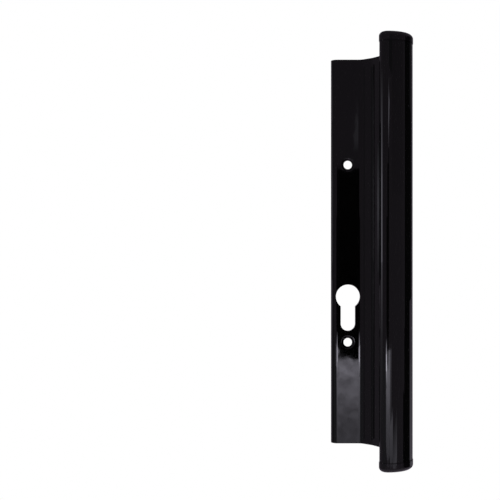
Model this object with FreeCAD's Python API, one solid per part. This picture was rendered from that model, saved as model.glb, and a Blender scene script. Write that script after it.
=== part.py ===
import FreeCAD, Part

import math
import os

# Pull handle for a sliding patio door: one aluminium extrusion, sawn to length and drilled, with a moulded
# cap pushed into each end of its hollow grip.
#
# Millimetres. X runs across the handle, from the free edge of the fixing plate towards the grip. The door
# face is y = 0 and the handle stands off it towards -Y. Z runs up along the handle. The origin is on the
# door face, midway between the two fixing screws.

# Fixing plate
PLATE_LENGTH = 276.4
PLATE_MIDDLE_Z = 1.5
PLATE_STAND_OFF = 6.0
FREE_EDGE_TO_SCREWS = 11.8
FREE_EDGE_RADIUS = 4.3
FLAT_WIDTH = 14.9
WALL = 2.5

# Rib under the root of the web, which rests on the door as the lip of the free edge does
RIB_WALL = 2.0
SCREWS_TO_RIB_FACE = 11.8
RIB_ROOT_RADIUS = 1.0

# Web that sweeps out from the plate to the grip, seen in section
WEB_ROOT_RADIUS = 5.5
WEB_SLOPE = 42.4
WEB_RUN = 6.1
WEB_SHOULDER_RADIUS = 10.0
WEB_END_SLOPE = 58.0
CREASE_RADIUS = 0.8
WEB_BACK_RADIUS = 3.0

# Hollow oval grip, an oval of four arcs, which runs past the plate and web at both ends. Its long axis leans
# from the front, on the plate's side, back towards the door
GRIP_PAST_PLATE = 6.7
GRIP_LENGTH = PLATE_LENGTH + 2 * GRIP_PAST_PLATE
GRIP_CENTRE_X = 31.1
GRIP_CENTRE_OFF_DOOR = 29.6
GRIP_LONG_RADIUS = 14.5
GRIP_SHORT_RADIUS = 8.7
GRIP_END_RADIUS = 5.6
GRIP_LEAN = 40.0
GRIP_WALL = 2.0

# Fixing screws, countersunk from the front. The rim of the countersink is softened by a shallow cone
SCREW_SPACING = 128.0
SCREW_HOLE_RADIUS = 3.1
COUNTERSINK_RADIUS = 4.7
COUNTERSINK_ANGLE = 90.0
RIM_RADIUS = 5.1
RIM_ANGLE = 140.0

# Cut-out for a profile cylinder: a round hole with a slot below it
CYLINDER_CENTRE_Z = -31.0
CYLINDER_RADIUS = 8.7
CYLINDER_SLOT_WIDTH = 10.5
CYLINDER_CUT_OUT_HEIGHT = 33.4

# Moulded end cap
CAP_HEIGHT = 6.9
CAP_PROUD = 0.3
CAP_CROWN_RADIUS = 3.1
CAP_SEAM_GAP = 0.5
CAP_SEAM_DEPTH = 0.6
CAP_TOP_WALL = 2.5
SPIGOT_LENGTH = 13.0
SPIGOT_WALL = 1.6
SPIGOT_CLEARANCE = 0.15
SPIGOT_LEAD_IN = 0.8
CRUSH_RIB_WIDTH = 1.2
CRUSH_RIB_CLEARANCE = 0.02
CROSS_WALL = 1.4
CROSS_WALL_OFFSET = 4.2

# How far a cutting tool runs past the face that it cuts
OVERRUN = 1.0

# Two places nearer than this are the same
SAME = 0.001

ALONG_Z = FreeCAD.Vector(0, 0, 1)
TO_DOOR = FreeCAD.Vector(0, 1, 0)
ORIGIN = FreeCAD.Vector(0, 0, 0)


def turned(direction, degrees):
    """A vector in the section plane, turned anticlockwise as seen from above."""
    angle = math.radians(degrees)
    return FreeCAD.Vector(direction.x * math.cos(angle) - direction.y * math.sin(angle),
                          direction.x * math.sin(angle) + direction.y * math.cos(angle), 0)


class WallSection:
    """A wall of even thickness, walked along its outer face with the metal on the left."""

    def __init__(self, start, heading, thickness):
        self.place = start
        self.heading = heading
        self.thickness = thickness
        self.start = start
        self.start_inner = start + turned(heading, 90) * thickness
        self.outer = []
        self.inner = []

    def to_inner(self):
        """Step from the outer face to the inner face, at the present place."""
        return turned(self.heading, 90) * self.thickness

    def run(self, length):
        """Go straight on."""
        end = self.place + self.heading * length
        self.outer.append(Part.makeLine(self.place, end))
        self.inner.append(Part.makeLine(self.place + self.to_inner(), end + self.to_inner()))
        self.place = end

    def bend(self, radius, degrees):
        """Turn on an arc whose radius is that of the outer face; a positive turn is to the left."""
        side = math.copysign(90, degrees)
        centre = self.place + turned(self.heading, side) * radius
        from_centre = self.place - centre
        inner_scale = (radius - math.copysign(self.thickness, degrees)) / radius
        points = [turned(from_centre, degrees * share) for share in (0, 0.5, 1)]
        self.outer.append(Part.Arc(*[centre + point for point in points]).toShape())
        self.inner.append(Part.Arc(*[centre + point * inner_scale for point in points]).toShape())
        self.place = centre + points[-1]
        self.heading = turned(self.heading, degrees)

    def face(self):
        """The section, closed at both ends."""
        foot = Part.makeLine(self.start_inner, self.start)
        tip = Part.makeLine(self.place, self.place + self.to_inner())
        return Part.Face(Part.Wire(self.outer + [tip] + self.inner[::-1] + [foot]))


def grip_centre(z):
    """The middle of the grip at a height."""
    return FreeCAD.Vector(GRIP_CENTRE_X, -GRIP_CENTRE_OFF_DOOR, z)


def on_grip(shape, z, upside_down=False):
    """Place a shape made about the grip's own axes, its long axis along X, at a height on the grip."""
    placed = shape.copy()
    if upside_down:
        placed.rotate(ORIGIN, FreeCAD.Vector(1, 0, 0), 180)
    placed.rotate(ORIGIN, ALONG_Z, GRIP_LEAN)
    placed.translate(grip_centre(z))
    return placed


def oval(inset, z):
    """Outline of the grip about its own axes, set in from its outer face: two end arcs and two side arcs."""
    end_x = GRIP_LONG_RADIUS - GRIP_END_RADIUS
    side_radius = ((end_x ** 2 + GRIP_SHORT_RADIUS ** 2 - GRIP_END_RADIUS ** 2)
                   / (2 * (GRIP_SHORT_RADIUS - GRIP_END_RADIUS)))
    side_y = side_radius - GRIP_SHORT_RADIUS
    end_half = math.degrees(math.atan2(side_y, end_x))
    arcs = []
    for turn in (0, 180):
        end_centre = turned(FreeCAD.Vector(end_x, 0, 0), turn)
        side_centre = turned(FreeCAD.Vector(0, -side_y, 0), turn)
        for centre, radius, first, last in (
                (end_centre, GRIP_END_RADIUS - inset, turn - end_half, turn + end_half),
                (side_centre, side_radius - inset, turn + end_half, turn + 180 - end_half)):
            points = [centre + turned(FreeCAD.Vector(radius, 0, 0), angle) + ALONG_Z * z
                      for angle in (first, (first + last) / 2, last)]
            arcs.append(Part.Arc(*points).toShape())
    return Part.Wire(arcs)


def oval_prism(inset, bottom, top):
    """An upright oval prism about the grip's own axes."""
    return Part.Face(oval(inset, bottom)).extrude(ALONG_Z * (top - bottom))


def plate_and_web_section():
    """Lip, flat plate and web as one bent wall, which ends inside the grip, level with its middle."""
    wall = WallSection(FreeCAD.Vector(-FREE_EDGE_TO_SCREWS, 0, 0), -TO_DOOR, WALL)
    wall.run(PLATE_STAND_OFF - FREE_EDGE_RADIUS)
    wall.bend(FREE_EDGE_RADIUS, 90)
    wall.run(FLAT_WIDTH)
    wall.bend(WEB_ROOT_RADIUS, -WEB_SLOPE)
    wall.run(WEB_RUN)
    wall.bend(WEB_SHOULDER_RADIUS, WEB_SLOPE - WEB_END_SLOPE)
    wall.run((grip_centre(0) - wall.place).dot(wall.heading))
    return wall.face()


def rib_section():
    """Rib from the door face into the root of the web."""
    corner = FreeCAD.Vector(SCREWS_TO_RIB_FACE - RIB_WALL, -PLATE_STAND_OFF, 0)
    return Part.makePlane(RIB_WALL, PLATE_STAND_OFF, corner, ALONG_Z)


def crossings(first, second):
    """The places in the section where the outlines of two faces cross, the furthest from the door first."""
    found = first.OuterWire.section(second.OuterWire).Vertexes
    return sorted((vertex.Point for vertex in found), key=lambda point: point.y)


def rounded(solid, places, radius):
    """Round the corners that run along Z at the given places in the section."""
    corners = []
    for edge in solid.Edges:
        low, high = edge.Vertexes[0].Point, edge.Vertexes[-1].Point
        upright = math.hypot(high.x - low.x, high.y - low.y) < SAME < abs(high.z - low.z)
        if upright and any(math.hypot(place.x - low.x, place.y - low.y) < SAME for place in places):
            corners.append(edge)
    return solid.makeFillet(radius, corners)


def base_solid():
    """Plate, web, rib and the middle length of the grip, solid as yet, with their corners rounded."""
    wall = plate_and_web_section()
    rib = rib_section()
    grip = Part.Face(on_grip(oval(0, 0), 0))
    sections = [wall, rib, grip]
    prisms = [section.extrude(ALONG_Z * PLATE_LENGTH) for section in sections]
    solid = prisms[0].fuse(prisms[1:]).removeSplitter()

    crease, web_back = crossings(wall, grip)
    solid = rounded(solid, [crease], CREASE_RADIUS)
    solid = rounded(solid, [web_back], WEB_BACK_RADIUS)
    solid = rounded(solid, crossings(rib, wall), RIB_ROOT_RADIUS)
    solid.translate(ALONG_Z * (PLATE_MIDDLE_Z - PLATE_LENGTH / 2))
    return solid


def countersink(face_radius, angle, z):
    """Tool for a cone that narrows from the front of the plate down to the screw hole."""
    spread = math.tan(math.radians(angle / 2))
    depth = (face_radius - SCREW_HOLE_RADIUS) / spread
    front = FreeCAD.Vector(0, -PLATE_STAND_OFF - OVERRUN, z)
    return Part.makeCone(face_radius + OVERRUN * spread, SCREW_HOLE_RADIUS, depth + OVERRUN, front, TO_DOOR)


def screw_hole(z):
    """Tool for one screw hole, its countersink and the countersink's rim."""
    front = FreeCAD.Vector(0, -PLATE_STAND_OFF - OVERRUN, z)
    hole = Part.makeCylinder(SCREW_HOLE_RADIUS, PLATE_STAND_OFF + 2 * OVERRUN, front, TO_DOOR)
    cones = [countersink(COUNTERSINK_RADIUS, COUNTERSINK_ANGLE, z), countersink(RIM_RADIUS, RIM_ANGLE, z)]
    return hole.fuse(cones)


def cylinder_cut_out():
    """Tool for the round hole and the slot with a round end below it."""
    front = -PLATE_STAND_OFF - OVERRUN
    depth = PLATE_STAND_OFF + 2 * OVERRUN
    slot_radius = CYLINDER_SLOT_WIDTH / 2
    slot_end_z = CYLINDER_CENTRE_Z + CYLINDER_RADIUS - CYLINDER_CUT_OUT_HEIGHT + slot_radius
    round_centre = FreeCAD.Vector(0, front, CYLINDER_CENTRE_Z)
    round_hole = Part.makeCylinder(CYLINDER_RADIUS, depth, round_centre, TO_DOOR)
    slot_end = Part.makeCylinder(slot_radius, depth, FreeCAD.Vector(0, front, slot_end_z), TO_DOOR)
    slot_corner = FreeCAD.Vector(-slot_radius, front, slot_end_z)
    slot = Part.makeBox(CYLINDER_SLOT_WIDTH, depth, CYLINDER_CENTRE_Z - slot_end_z, slot_corner)
    return round_hole.fuse([slot, slot_end])


def handle_extrusion():
    """The extrusion: the grip runs past the plate and web at both ends."""
    bottom = PLATE_MIDDLE_Z - GRIP_LENGTH / 2
    solid = base_solid().fuse(on_grip(oval_prism(0, 0, GRIP_LENGTH), bottom))
    solid = solid.cut(on_grip(oval_prism(GRIP_WALL, -OVERRUN, GRIP_LENGTH + OVERRUN), bottom))
    for z in (-SCREW_SPACING / 2, SCREW_SPACING / 2):
        solid = solid.cut(screw_hole(z))
    return solid.cut(cylinder_cut_out()).removeSplitter()


def crown():
    """The part of the cap that shows: a low neck, set in for a shadow line at the seam, and a rounded block."""
    block = oval_prism(-CAP_PROUD, CAP_SEAM_GAP, CAP_HEIGHT)
    top_edge = [edge for edge in block.Edges if edge.BoundBox.ZMin > CAP_HEIGHT - SAME]
    block = block.makeFillet(CAP_CROWN_RADIUS, top_edge)
    return block.fuse(oval_prism(CAP_SEAM_DEPTH, 0, CAP_SEAM_GAP))


def crush_ribs():
    """Ribs at the ends of the oval's two axes, which centre the spigot in the grip."""
    inset = GRIP_WALL + CRUSH_RIB_CLEARANCE
    reach_x = GRIP_LONG_RADIUS - inset
    reach_y = GRIP_SHORT_RADIUS - inset
    half_rib = CRUSH_RIB_WIDTH / 2
    bottom = SPIGOT_LEAD_IN - SPIGOT_LENGTH
    across = Part.makeBox(2 * reach_x, CRUSH_RIB_WIDTH, -bottom, FreeCAD.Vector(-reach_x, -half_rib, bottom))
    along = Part.makeBox(CRUSH_RIB_WIDTH, 2 * reach_y, -bottom, FreeCAD.Vector(-half_rib, -reach_y, bottom))
    return across.fuse(along).common(oval_prism(inset, bottom, 0))


def cross_wall(x):
    """Wall across the inside of the cap and its spigot, ending in the middle of the spigot's own wall."""
    inset = GRIP_WALL + SPIGOT_CLEARANCE + SPIGOT_WALL / 2
    reach = GRIP_SHORT_RADIUS - inset
    bottom = SPIGOT_LEAD_IN - SPIGOT_LENGTH
    height = CAP_HEIGHT - CAP_TOP_WALL - bottom
    wall = Part.makeBox(CROSS_WALL, 2 * reach, height, FreeCAD.Vector(x - CROSS_WALL / 2, -reach, bottom))
    return wall.common(oval_prism(inset, bottom, CAP_HEIGHT))


def end_cap():
    """Cap about the grip's own axes, its seat on the grip's end at z = 0 and its spigot below."""
    outside = GRIP_WALL + SPIGOT_CLEARANCE
    spigot = oval_prism(outside, -SPIGOT_LENGTH, 0)
    lead_in = [edge for edge in spigot.Edges if edge.BoundBox.ZMax < SAME - SPIGOT_LENGTH]
    spigot = spigot.makeChamfer(SPIGOT_LEAD_IN, lead_in)
    core = oval_prism(outside + SPIGOT_WALL, -SPIGOT_LENGTH - OVERRUN, CAP_HEIGHT - CAP_TOP_WALL)
    cap = crown().fuse([spigot, crush_ribs()]).cut(core)
    cap = cap.fuse([cross_wall(-CROSS_WALL_OFFSET), cross_wall(CROSS_WALL_OFFSET)])
    return cap.removeSplitter()


def main():
    cap = end_cap()
    parts = {
        "handle_extrusion": handle_extrusion(),
        "top_end_cap": on_grip(cap, PLATE_MIDDLE_Z + GRIP_LENGTH / 2),
        "bottom_end_cap": on_grip(cap, PLATE_MIDDLE_Z - GRIP_LENGTH / 2, upside_down=True),
    }
    os.makedirs("parts", exist_ok=True)
    for name, shape in parts.items():
        solid = shape.Solids[0]
        box = solid.BoundBox
        print(f"{name}: {len(shape.Solids)} solid, valid {shape.isValid()}, {solid.Volume / 1000:.2f} cm3, "
              f"x {box.XMin:.2f} to {box.XMax:.2f}, y {box.YMin:.2f} to {box.YMax:.2f}, "
              f"z {box.ZMin:.2f} to {box.ZMax:.2f}")
        solid.exportStep(f"parts/{name}.step")


main()
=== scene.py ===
"""Looks of the sliding patio door handle: gloss black coated extrusion with a moulded cap in each end."""
import logging
import math
from dataclasses import dataclass
from enum import Enum
from typing import Any

import bmesh
import bpy
from mathutils import Matrix, Vector

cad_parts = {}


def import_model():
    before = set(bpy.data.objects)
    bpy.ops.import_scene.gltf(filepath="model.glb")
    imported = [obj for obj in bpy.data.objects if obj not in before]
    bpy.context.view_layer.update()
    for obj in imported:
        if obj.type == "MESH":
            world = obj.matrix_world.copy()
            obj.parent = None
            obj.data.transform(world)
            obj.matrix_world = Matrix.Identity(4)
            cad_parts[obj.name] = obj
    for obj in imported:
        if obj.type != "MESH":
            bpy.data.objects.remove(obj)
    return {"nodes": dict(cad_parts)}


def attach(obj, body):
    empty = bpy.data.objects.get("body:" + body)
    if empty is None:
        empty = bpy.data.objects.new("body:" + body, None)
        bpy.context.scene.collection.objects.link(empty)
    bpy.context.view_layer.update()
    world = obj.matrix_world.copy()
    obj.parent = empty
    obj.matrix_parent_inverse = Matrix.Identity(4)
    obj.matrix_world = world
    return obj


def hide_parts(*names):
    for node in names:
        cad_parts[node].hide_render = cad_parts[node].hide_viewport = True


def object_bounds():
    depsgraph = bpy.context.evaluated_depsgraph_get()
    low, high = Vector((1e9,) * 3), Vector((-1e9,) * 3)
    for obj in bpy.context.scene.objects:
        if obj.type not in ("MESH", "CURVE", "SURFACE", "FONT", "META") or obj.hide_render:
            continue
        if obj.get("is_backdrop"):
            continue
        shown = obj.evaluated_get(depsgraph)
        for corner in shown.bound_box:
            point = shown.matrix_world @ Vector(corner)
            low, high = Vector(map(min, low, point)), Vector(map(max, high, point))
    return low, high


log = logging.getLogger("patio_door_handle")

MM = 0.001

# Numbers of the colour sockets on a Mix node, whose names its number sockets share
MIX_COLOUR_A = 6
MIX_COLOUR_B = 7
MIX_COLOUR_RESULT = 2

# Noise stays near a half, so each pattern stretches a span of it: nearly all of it, its middle or its peaks
NEARLY_ALL_NOISE = (0.3, 0.7)
MIDDLE_OF_NOISE = (0.35, 0.65)
PEAKS_OF_NOISE = (0.55, 0.75)

# The dim room that the black gloss mirrors is faintly violet
ROOM_TINT = "#f7e8ff"


def linear(hex_colour: str) -> tuple[float, float, float, float]:
    """Turn an sRGB hex colour into the linear colour that a shader takes.

    Args:
        hex_colour: Six hex digits, with or without a leading hash.

    Returns:
        Linear red, green and blue, and an alpha of 1.
    """
    digits = hex_colour.lstrip("#")
    channels = [int(digits[place:place + 2], 16) / 255 for place in (0, 2, 4)]
    red, green, blue = (c / 12.92 if c <= 0.04045 else ((c + 0.055) / 1.055) ** 2.4 for c in channels)
    return red, green, blue, 1.0


def add_node(tree: bpy.types.NodeTree, kind: str, inputs: dict[str | int, Any] | None = None,
             **settings: Any) -> bpy.types.Node:
    """Add a node, set it up and wire its inputs.

    Args:
        tree: Node tree that the node joins.
        kind: Name of the node's type.
        inputs: Value or output socket for each input, by the input's name or number.
        **settings: The node's own properties.

    Returns:
        The new node.
    """
    node = tree.nodes.new(kind)
    for name, value in settings.items():
        setattr(node, name, value)
    for socket, value in (inputs or {}).items():
        if isinstance(value, bpy.types.NodeSocket):
            tree.links.new(value, node.inputs[socket])
        else:
            node.inputs[socket].default_value = value
    return node


def noise(tree: bpy.types.NodeTree, place: bpy.types.NodeSocket, size_mm: float, detail: float,
          roughness: float = 0.5) -> bpy.types.NodeSocket:
    """Add noise of a real size.

    Args:
        tree: Node tree that the noise joins.
        place: Coordinates in metres.
        size_mm: How far apart its lumps are.
        detail: How many finer layers lie over them.
        roughness: How strong the finer layers are.

    Returns:
        The noise, from 0 to 1.
    """
    return add_node(tree, "ShaderNodeTexNoise", {
        "Vector": place, "Scale": 1 / (size_mm * MM), "Detail": detail,
        "Roughness": roughness}).outputs["Fac"]


def stretch(tree: bpy.types.NodeTree, value: bpy.types.NodeSocket, span: tuple[float, float],
            result: tuple[float, float] = (0.0, 1.0), **settings: Any) -> bpy.types.NodeSocket:
    """Map a span of a value onto a span of results and hold the ends.

    Args:
        tree: Node tree that the node joins.
        value: The value.
        span: The two values that give the first and the second result.
        result: The two results.
        **settings: The node's own properties.

    Returns:
        The result.
    """
    return add_node(tree, "ShaderNodeMapRange", {
        "Value": value, "From Min": span[0], "From Max": span[1], "To Min": result[0], "To Max": result[1]},
        **settings).outputs["Result"]


def empty_material(name: str) -> bpy.types.Material:
    """Make a material whose node tree is empty."""
    material = bpy.data.materials.new(name)
    material.use_nodes = True
    material.node_tree.nodes.clear()
    return material


@dataclass(frozen=True)
class GlossFinish:
    """A smooth dark finish whose gloss and flatness wander a little, as on any real surface.

    The base colour is nearly black, so what shows is the room mirrored at the strength that its IOR gives.
    """

    name: str
    colour: str
    colour_in_specks: str
    roughness_least: float
    roughness_most: float
    cloud_size_mm: float
    ripple_size_mm: float
    ripple_height_mm: float
    grain_size_mm: float
    grain_height_mm: float
    ior: float = 1.5

    def material(self) -> bpy.types.Material:
        """Build the node tree of the finish.

        Returns:
            The material.
        """
        material = empty_material(self.name)
        tree = material.node_tree
        place = add_node(tree, "ShaderNodeTexCoord").outputs["Object"]
        clouds = noise(tree, place, self.cloud_size_mm, detail=3.0, roughness=0.6)
        ripple = noise(tree, place, self.ripple_size_mm, detail=1.0)
        grain = noise(tree, place, self.grain_size_mm, detail=2.0)
        colour = add_node(tree, "ShaderNodeMix", {
            "Factor": stretch(tree, grain, PEAKS_OF_NOISE), MIX_COLOUR_A: linear(self.colour),
            MIX_COLOUR_B: linear(self.colour_in_specks)}, data_type="RGBA").outputs[MIX_COLOUR_RESULT]
        roughness = stretch(tree, clouds, MIDDLE_OF_NOISE, (self.roughness_least, self.roughness_most))
        ripple_bump = add_node(tree, "ShaderNodeBump", {
            "Height": ripple, "Distance": self.ripple_height_mm * MM})
        grain_bump = add_node(tree, "ShaderNodeBump", {
            "Height": grain, "Distance": self.grain_height_mm * MM, "Normal": ripple_bump.outputs["Normal"]})
        shader = add_node(tree, "ShaderNodeBsdfPrincipled", {
            "Base Color": colour, "Roughness": roughness, "IOR": self.ior,
            "Normal": grain_bump.outputs["Normal"]})
        add_node(tree, "ShaderNodeOutputMaterial", {"Surface": shader.outputs["BSDF"]})
        return material


# Powder coat baked on aluminium: a deep gloss over black, with a slow orange peel that bends reflections
GLOSS_POWDER_COAT = GlossFinish(
    name="gloss_black_powder_coat", colour="#020202", colour_in_specks="#050405",
    roughness_least=0.02, roughness_most=0.045, cloud_size_mm=18.0,
    ripple_size_mm=5.0, ripple_height_mm=0.008, grain_size_mm=0.9, grain_height_mm=0.0003)

# Nylon from a polished mould: nearly as glossy as the coat, with the faint ripple of a thick moulding
MOULDED_NYLON = GlossFinish(
    name="moulded_black_nylon", colour="#040304", colour_in_specks="#080708",
    roughness_least=0.07, roughness_most=0.13, cloud_size_mm=9.0,
    ripple_size_mm=3.0, ripple_height_mm=0.012, grain_size_mm=0.5, grain_height_mm=0.0008)


class End(Enum):
    """The two ends of the grip."""

    TOP = "top"
    BOTTOM = "bottom"


@dataclass(frozen=True)
class SoftenedSkin:
    """How a machined or moulded solid becomes one closed skin, its edges softened and its shading even.

    Edges that turn by more than the corner angle are real corners. Each gets a small round, or stays crisp
    where the round is 0. Elsewhere the skin shades as the smooth curve that it stands for, because the
    normals that come with the solid break a reflection where one curve runs into the next.
    """

    edge_round_mm: float
    round_steps: int = 2
    corner_angle: float = 28.0
    flat_angle: float = 0.2
    merge_mm: float = 0.002

    def mesh_of(self, node: bpy.types.Object, name: str, material: bpy.types.Material) -> bpy.types.Mesh:
        """Merge and soften a copy of a CAD node's mesh.

        Args:
            node: The node's object.
            name: Name of the new mesh.
            material: The finish of every face.

        Returns:
            The new mesh.
        """
        mesh = bpy.data.meshes.new(name)
        skin = bmesh.new()
        skin.from_mesh(node.data)
        bmesh.ops.remove_doubles(skin, verts=skin.verts, dist=self.merge_mm * MM)
        bmesh.ops.dissolve_limit(skin, angle_limit=math.radians(self.flat_angle), verts=skin.verts,
                                 edges=skin.edges)
        corners = [edge for edge in skin.edges if edge.calc_face_angle(0) > math.radians(self.corner_angle)]
        if self.edge_round_mm > 0:
            bmesh.ops.bevel(skin, geom=corners, offset=self.edge_round_mm * MM, offset_type="OFFSET",
                            segments=self.round_steps, profile=0.5, affect="EDGES", material=-1,
                            clamp_overlap=True)
        else:
            for edge in corners:
                edge.smooth = False
        for face in skin.faces:
            face.smooth = True
            face.material_index = 0
        skin.to_mesh(mesh)
        skin.free()
        if "custom_normal" in mesh.attributes:
            mesh.attributes.remove(mesh.attributes["custom_normal"])
        mesh.materials.clear()
        mesh.materials.append(material)
        return mesh

    def copy_of(self, node: bpy.types.Object, name: str, material: bpy.types.Material,
                slot: str) -> bpy.types.Object:
        """Make the skin of a CAD node and let it stand for the node.

        Args:
            node: The node's object.
            name: Name of the new piece.
            material: The finish of every face.
            slot: The record's material slot. Not used.

        Returns:
            The new piece.
        """
        piece = bpy.data.objects.new(name, self.mesh_of(node, name, material))
        bpy.context.scene.collection.objects.link(piece)
        even = piece.modifiers.new("even_shading", "WEIGHTED_NORMAL")
        even.mode = "FACE_AREA"
        even.keep_sharp = True
        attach(piece, "root")
        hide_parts(node.name)
        return piece


@dataclass
class HandleBody:
    """The sawn, drilled and coated extrusion: plate, web and grip in one."""

    node_name: str = "handle_extrusion"
    piece_name: str = "coated_handle"
    slot: str = "coated_aluminium"
    finish: GlossFinish = GLOSS_POWDER_COAT
    skin: SoftenedSkin = SoftenedSkin(edge_round_mm=0.2)

    def build(self, nodes: dict[str, bpy.types.Object]) -> list[bpy.types.Object]:
        """Make the coated extrusion.

        Args:
            nodes: The CAD nodes by name.

        Returns:
            The pieces that show.
        """
        return [self.skin.copy_of(nodes[self.node_name], self.piece_name, self.finish.material(), self.slot)]


@dataclass
class GripCaps:
    """The pair of moulded caps, one moulding used twice."""

    ends: tuple[End, ...] = (End.TOP, End.BOTTOM)
    slot: str = "moulded_cap"
    finish: GlossFinish = MOULDED_NYLON
    skin: SoftenedSkin = SoftenedSkin(edge_round_mm=0.0)

    def build(self, nodes: dict[str, bpy.types.Object]) -> list[bpy.types.Object]:
        """Make both caps.

        Args:
            nodes: The CAD nodes by name.

        Returns:
            The pieces that show.
        """
        material = self.finish.material()
        return [self.skin.copy_of(nodes[f"{end.value}_end_cap"], f"{end.value}_grip_cap", material, self.slot)
                for end in self.ends]


@dataclass(frozen=True)
class PhotoCamera:
    """Camera square to the door, level with the middle of the handle and left of it."""

    place_mm: tuple[float, float, float] = (-70.6, -706.0, 2.6)
    sensor_mm: float = 36.0
    lens_mm: float = 69.97

    def build(self) -> None:
        """Make the camera and take it as the scene's."""
        data = bpy.data.cameras.new("photo_camera")
        data.sensor_width = self.sensor_mm
        data.lens = self.lens_mm
        camera = bpy.data.objects.new("photo_camera", data)
        camera.location = Vector(self.place_mm) * MM
        camera.rotation_euler = (math.pi / 2, 0, 0)
        bpy.context.scene.collection.objects.link(camera)
        bpy.context.scene.camera = camera


class Outline(Enum):
    """The outline of a reflector."""

    CARD = "card"
    DISC = "disc"


@dataclass(frozen=True)
class Band:
    """A stretch of a reflector's height, and its radiance at both edges, where 0 is black."""

    bottom_mm: float
    top_mm: float
    radiance_bottom: float = 0.0
    radiance_top: float = 0.0


@dataclass(frozen=True)
class Reflector:
    """An upright card or disc, plain or in bands, seen only in reflections.

    It stands ahead of the frame's upright axis, which runs through both screw holes, and square to its
    heading, which is 0 towards the camera and 90 on the grip's side. Left and right are as seen from the
    camera at heading 0. A tilt leans its upper end to the right.
    """

    name: str
    ahead_mm: float
    left_mm: float
    right_mm: float
    bands: tuple[Band, ...]
    heading: float = 0.0
    tilt: float = 0.0
    outline: Outline = Outline.CARD
    disc_sides: int = 48
    cloudiness: float = 0.0
    cloud_size_mm: float = 90.0
    tint: str = "#f3efff"

    def material(self, name: str, band: Band) -> bpy.types.Material:
        """Make a glow that changes with height.

        Args:
            name: Name of the material.
            band: The stretch that glows.

        Returns:
            The material.
        """
        material = empty_material(name)
        tree = material.node_tree
        place = add_node(tree, "ShaderNodeTexCoord").outputs["Object"]
        height = add_node(tree, "ShaderNodeSeparateXYZ", {"Vector": place}).outputs["Z"]
        radiance = stretch(tree, height, (band.bottom_mm * MM, band.top_mm * MM),
                           (band.radiance_bottom, band.radiance_top))
        share = stretch(tree, noise(tree, place, self.cloud_size_mm, detail=2.0), NEARLY_ALL_NOISE,
                        (1 - self.cloudiness, 1 + self.cloudiness))
        strength = add_node(tree, "ShaderNodeMath", {0: radiance, 1: share}, operation="MULTIPLY").outputs[0]
        glow = add_node(tree, "ShaderNodeEmission", {"Color": linear(self.tint), "Strength": strength})
        add_node(tree, "ShaderNodeOutputMaterial", {"Surface": glow.outputs["Emission"]})
        return material

    def build_band(self, name: str, band: Band) -> None:
        """Build one band as a sheet of its own.

        Args:
            name: Name of the sheet.
            band: The stretch that it covers.
        """
        sheet = bmesh.new()
        if self.outline is Outline.CARD:
            bmesh.ops.create_grid(sheet, x_segments=1, y_segments=1, size=0.5)
        else:
            bmesh.ops.create_circle(sheet, cap_ends=True, segments=self.disc_sides, radius=0.5)
        wide, high = self.right_mm - self.left_mm, band.top_mm - band.bottom_mm
        bmesh.ops.scale(sheet, verts=sheet.verts, vec=(wide, high, 1))
        stand_up = Matrix.Rotation(math.pi / 2, 3, "X") @ Matrix.Rotation(math.radians(-self.tilt), 3, "Z")
        bmesh.ops.rotate(sheet, verts=sheet.verts, matrix=stand_up)
        middle = Vector((self.left_mm + self.right_mm, -2 * self.ahead_mm, band.bottom_mm + band.top_mm)) / 2
        bmesh.ops.translate(sheet, verts=sheet.verts, vec=middle)
        bmesh.ops.rotate(sheet, verts=sheet.verts, matrix=Matrix.Rotation(math.radians(self.heading), 3, "Z"))
        bmesh.ops.scale(sheet, verts=sheet.verts, vec=(MM, MM, MM))
        mesh = bpy.data.meshes.new(name)
        sheet.to_mesh(mesh)
        sheet.free()
        mesh.materials.append(self.material(name, band))
        show_in_reflections_only(bpy.data.objects.new(name, mesh))

    def build(self) -> None:
        """Build every band."""
        for number, band in enumerate(self.bands, start=1):
            self.build_band(f"{self.name}_{number}", band)


def show_in_reflections_only(thing: bpy.types.Object) -> None:
    """Put a stage object in the scene so that only glossy rays meet it.

    Args:
        thing: The stage object.
    """
    bpy.context.scene.collection.objects.link(thing)
    thing.visible_camera = False
    thing.visible_diffuse = False
    thing.visible_transmission = False
    thing.visible_shadow = False
    thing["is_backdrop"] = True


# Black panels ahead of the handle, each at its own distance, so that no two lie in one plane. The plate
# mirrors them as its long black patch with a round lower corner, and the grip as its dark stripe
FRONT_BLACKS = (
    Reflector("front_panel", ahead_mm=706, left_mm=-80, right_mm=180, bands=(Band(-116, 121),)),
    Reflector("front_side_panel", ahead_mm=707, left_mm=-255, right_mm=-80,
              bands=(Band(-110, 50, 0.02, 0.02),)),
    Reflector("front_disc", ahead_mm=705, left_mm=44, right_mm=150, bands=(Band(-159, -57),),
              outline=Outline.DISC),
    Reflector("front_foot_card", ahead_mm=704, left_mm=55, right_mm=83, bands=(Band(-153, -100),)),
    Reflector("front_top_card", ahead_mm=703, left_mm=88, right_mm=180, bands=(Band(118, 142),)),
    Reflector("front_edge_card", ahead_mm=702, left_mm=-170, right_mm=-55, bands=(Band(-156, -108),)),
)

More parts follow.
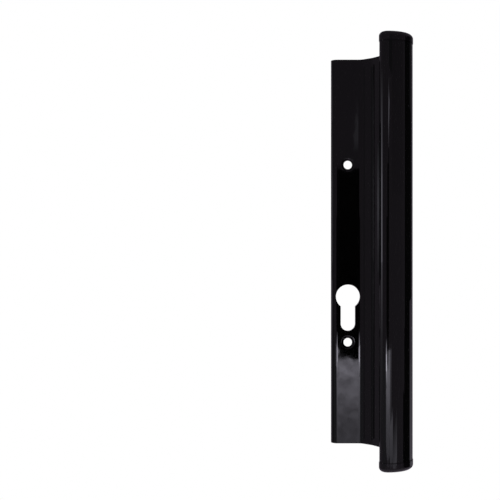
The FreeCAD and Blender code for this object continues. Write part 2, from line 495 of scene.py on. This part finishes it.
# A low softbox with uneven cloth, seen as the cloudy pale patch at the foot of the plate, and dimmer wings
# on its right that carry the light down the lower end of the grip
LOW_SOFTBOX = (
    Reflector("low_softbox", ahead_mm=906, left_mm=-450, right_mm=292, cloudiness=0.35, cloud_size_mm=13,
              bands=(Band(-198, -158, 2.6, 2.7), Band(-262, -198, 1.3, 2.6), Band(-330, -262, 0.7, 1.3))),
    Reflector("low_softbox_side", ahead_mm=906, left_mm=292, right_mm=372,
              bands=(Band(-275, -158, 0.5, 1.1),)),
    Reflector("low_wing_near", ahead_mm=907, left_mm=292, right_mm=480,
              bands=(Band(-350, -282, 0.7, 1.2), Band(-282, -262, 1.2, 0.3))),
    Reflector("low_wing_far", ahead_mm=907, left_mm=480, right_mm=900, bands=(Band(-400, -305, 1.1, 0.25),)),
)

# A bright bar close to the handle, seen as short light lines at both edges of the plate and on the grip, and
# a dim screen that keeps the softbox out of the plate's edges below it
NEAR_BAR = (
    Reflector("near_bar", ahead_mm=120, left_mm=-19.5, right_mm=-1.5,
              bands=(Band(-104, -91, 1.0, 6.0), Band(-91, -78, 11.0, 10.0), Band(-78, -66, 6.5, 0.2))),
    Reflector("near_screen", ahead_mm=133, left_mm=-300, right_mm=-38, bands=(Band(-200, -98, 0.2, 0.2),)),
)

# High lights: a leaning window, seen as the soft streak near the top of the grip, a dim band over it, and a
# thin strip, seen on the plate above its upper screw hole
HIGH_LIGHTS = (
    Reflector("high_window", ahead_mm=905, left_mm=168, right_mm=238, tilt=36,
              bands=(Band(176, 268, 2.9, 1.5),)),
    Reflector("high_dim_band", ahead_mm=905, left_mm=239, right_mm=440,
              bands=(Band(290, 430, 0.085, 0.085),)),
    Reflector("high_strip_foot", ahead_mm=904, left_mm=100, right_mm=106, tilt=3,
              bands=(Band(166, 186, 0.2, 0.42),)),
    Reflector("high_strip_middle", ahead_mm=904, left_mm=100.5, right_mm=106, tilt=3,
              bands=(Band(186, 225, 0.42, 0.4),)),
    Reflector("high_strip_head", ahead_mm=904, left_mm=103, right_mm=107, tilt=3,
              bands=(Band(225, 285, 0.36, 0.17),)),
)

# A tall light on the free edge's side, seen as the lines down the lip and the left of the grip. A near card
# dims it in the web's shoulder, a slim one draws the line along the web's crease, and two black ones cut
# gaps in the lines
LEFT_LIGHTS = (
    Reflector("left_light", ahead_mm=600, left_mm=-180, right_mm=98, heading=-90,
              bands=(Band(-240, -110, 0.17, 0.4), Band(-110, -14, 0.45, 1.2), Band(-14, 102, 2.1, 2.0),
                     Band(102, 240, 1.7, 0.22))),
    Reflector("left_near_card", ahead_mm=45, left_mm=-2.7, right_mm=20.8, heading=-90,
              bands=(Band(-145, 145, 0.11, 0.11),)),
    Reflector("left_slim_card", ahead_mm=40, left_mm=-2.6, right_mm=-1.0, heading=-90,
              bands=(Band(-15, 40, 0.2, 0.6), Band(40, 85, 0.6, 0.17))),
    Reflector("left_black_near", ahead_mm=60, left_mm=-7.5, right_mm=5, heading=-90,
              bands=(Band(-21, 103),)),
    Reflector("left_black_far", ahead_mm=60, left_mm=-150, right_mm=-12.5, heading=-90,
              bands=(Band(-21, 103),)),
)

# Dark walls past the grip, seen as the black band down its right edge, a little lighter at its two ends
RIGHT_WALLS = (
    Reflector("right_wall", ahead_mm=908, left_mm=-430, right_mm=430, heading=50, tint=ROOM_TINT,
              bands=(Band(90, 430, 0.15, 0.1),)),
    Reflector("right_dark_wall", ahead_mm=900, left_mm=-420, right_mm=110, heading=107,
              bands=(Band(-128, 400, 0.01, 0.01),)),
    Reflector("right_dark_edge", ahead_mm=900, left_mm=110, right_mm=420, heading=107,
              bands=(Band(-79, 230, 0.01, 0.01), Band(230, 400, 0.05, 0.05))),
    Reflector("right_light_edge", ahead_mm=902, left_mm=140, right_mm=420, heading=107,
              bands=(Band(-400, -180, 0.45, 0.25),)),
    Reflector("right_dark_foot", ahead_mm=900, left_mm=-470, right_mm=110, heading=107,
              bands=(Band(-400, -128, 0.01, 0.01),)),
    Reflector("right_dark_toe", ahead_mm=901, left_mm=-600, right_mm=-470, heading=107,
              bands=(Band(-400, -240, 0.01, 0.01),)),
)


@dataclass(frozen=True)
class SoftLamp:
    """A square soft lamp that lights colour and leaves reflections to the cards."""

    name: str
    place_mm: tuple[float, float, float]
    watts: float
    size_mm: float = 700.0

    def build(self, target: Vector) -> None:
        """Hang the lamp and point it.

        Args:
            target: Where the lamp points, in metres.
        """
        data = bpy.data.lights.new(self.name, "AREA")
        data.size = self.size_mm * MM
        data.energy = self.watts
        lamp = bpy.data.objects.new(self.name, data)
        lamp.location = Vector(self.place_mm) * MM
        lamp.rotation_mode = "QUATERNION"
        lamp.rotation_quaternion = (target - lamp.location).to_track_quat("-Z", "Y")
        lamp.visible_camera = False
        lamp.visible_glossy = False
        bpy.context.scene.collection.objects.link(lamp)


@dataclass
class Studio:
    """White room with a pale floor, soft lamps and the cards that the gloss mirrors.

    The coat mirrors a dim room, although the background is white, so only camera rays meet the white. The
    room's grey changes at the horizon and again well below it. The spans of those changes are the upward
    parts of a direction, from -1 straight down to 1 straight up.
    """

    room_grey_low: float = 0.19
    room_grey_high: float = 0.155
    room_grey_under: float = 0.45
    horizon_span: tuple[float, float] = (-0.2, 0.15)
    under_span: tuple[float, float] = (-0.6, -0.3)
    floor_colour: str = "#f4f4f4"
    floor_drop_mm: float = 420.0
    floor_radius_mm: float = 1000.0
    floor_sides: int = 96
    floor_clear_mm: float = 450.0
    floor_white_mm: float = 700.0
    lamps: tuple[SoftLamp, ...] = (
        SoftLamp("key_lamp", (-900, -1100, 900), 24.0),
        SoftLamp("fill_lamp", (1000, -900, 500), 16.0),
        SoftLamp("back_lamp", (300, 1200, 700), 18.0),
    )
    reflectors: tuple[Reflector, ...] = (
        FRONT_BLACKS + LOW_SOFTBOX + NEAR_BAR + HIGH_LIGHTS + LEFT_LIGHTS + RIGHT_WALLS)

    def world(self) -> None:
        """White to the camera, grey to every other ray."""
        world = bpy.data.worlds.new("studio")
        world.use_nodes = True
        tree = world.node_tree
        tree.nodes.clear()
        camera_ray = add_node(tree, "ShaderNodeLightPath").outputs["Is Camera Ray"]
        direction = add_node(tree, "ShaderNodeTexCoord").outputs["Generated"]
        upwards = add_node(tree, "ShaderNodeSeparateXYZ", {"Vector": direction}).outputs["Z"]
        grey = stretch(tree, upwards, self.horizon_span, (self.room_grey_low, self.room_grey_high))
        under = stretch(tree, upwards, self.under_span, (self.room_grey_under, self.room_grey_high))
        strength = add_node(tree, "ShaderNodeMath", {0: grey, 1: under}, operation="MAXIMUM").outputs[0]
        room = add_node(tree, "ShaderNodeBackground", {"Color": linear(ROOM_TINT), "Strength": strength})
        white = add_node(tree, "ShaderNodeBackground", {"Color": linear("#ffffff"), "Strength": 1.0})
        either = add_node(tree, "ShaderNodeMixShader", {
            0: camera_ray, 1: room.outputs["Background"], 2: white.outputs["Background"]})
        add_node(tree, "ShaderNodeOutputWorld", {"Surface": either.outputs["Shader"]})
        bpy.context.scene.world = world

    def floor_material(self) -> bpy.types.Material:
        """Pale paint under the handle that turns into plain white further out.

        Returns:
            The material.
        """
        material = empty_material("pale_floor")
        tree = material.node_tree
        place = add_node(tree, "ShaderNodeTexCoord").outputs["Object"]
        flat_place = add_node(tree, "ShaderNodeVectorMath", {0: place, 1: (1.0, 1.0, 0.0)},
                              operation="MULTIPLY")
        distance = add_node(tree, "ShaderNodeVectorMath", {0: flat_place.outputs[0]}, operation="LENGTH")
        whiteness = stretch(tree, distance.outputs["Value"],
                            (self.floor_clear_mm * MM, self.floor_white_mm * MM),
                            interpolation_type="SMOOTHSTEP")
        camera_ray = add_node(tree, "ShaderNodeLightPath").outputs["Is Camera Ray"]
        share = add_node(tree, "ShaderNodeMath", {0: whiteness, 1: camera_ray},
                         operation="MULTIPLY").outputs[0]
        paint = add_node(tree, "ShaderNodeBsdfDiffuse", {"Color": linear(self.floor_colour)})
        white = add_node(tree, "ShaderNodeEmission", {"Strength": 1.0})
        either = add_node(tree, "ShaderNodeMixShader", {
            0: share, 1: paint.outputs["BSDF"], 2: white.outputs["Emission"]})
        add_node(tree, "ShaderNodeOutputMaterial", {"Surface": either.outputs["Shader"]})
        return material

    def floor(self) -> None:
        """Lay the floor well below the handle, hidden from the coat, which mirrors no pale floor."""
        mesh = bpy.data.meshes.new("floor")
        disc = bmesh.new()
        bmesh.ops.create_circle(disc, cap_ends=True, segments=self.floor_sides,
                                radius=self.floor_radius_mm * MM)
        bmesh.ops.translate(disc, verts=disc.verts, vec=(0, 0, -self.floor_drop_mm * MM))
        disc.to_mesh(mesh)
        disc.free()
        mesh.materials.append(self.floor_material())
        floor = bpy.data.objects.new("floor", mesh)
        floor.visible_glossy = False
        bpy.context.scene.collection.objects.link(floor)
        floor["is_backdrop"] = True

    def build(self, target: Vector) -> None:
        """Set up the whole room round the handle.

        Args:
            target: The middle of the handle, in metres.
        """
        self.world()
        self.floor()
        for lamp in self.lamps:
            lamp.build(target)
        for reflector in self.reflectors:
            reflector.build()


def main() -> None:
    """Load the frame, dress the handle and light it."""
    logging.basicConfig(level=logging.INFO, format="%(name)s: %(message)s")
    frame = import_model()
    cad_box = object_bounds()
    bpy.context.scene.view_settings.view_transform = "Standard"

    PhotoCamera().build()
    for sub_assembly in (HandleBody(), GripCaps()):
        for piece in sub_assembly.build(frame["nodes"]):
            log.info("%s made, %d faces", piece.name, len(piece.data.polygons))
    Studio().build((cad_box[0] + cad_box[1]) / 2)


if __name__ == "__main__":
    main()
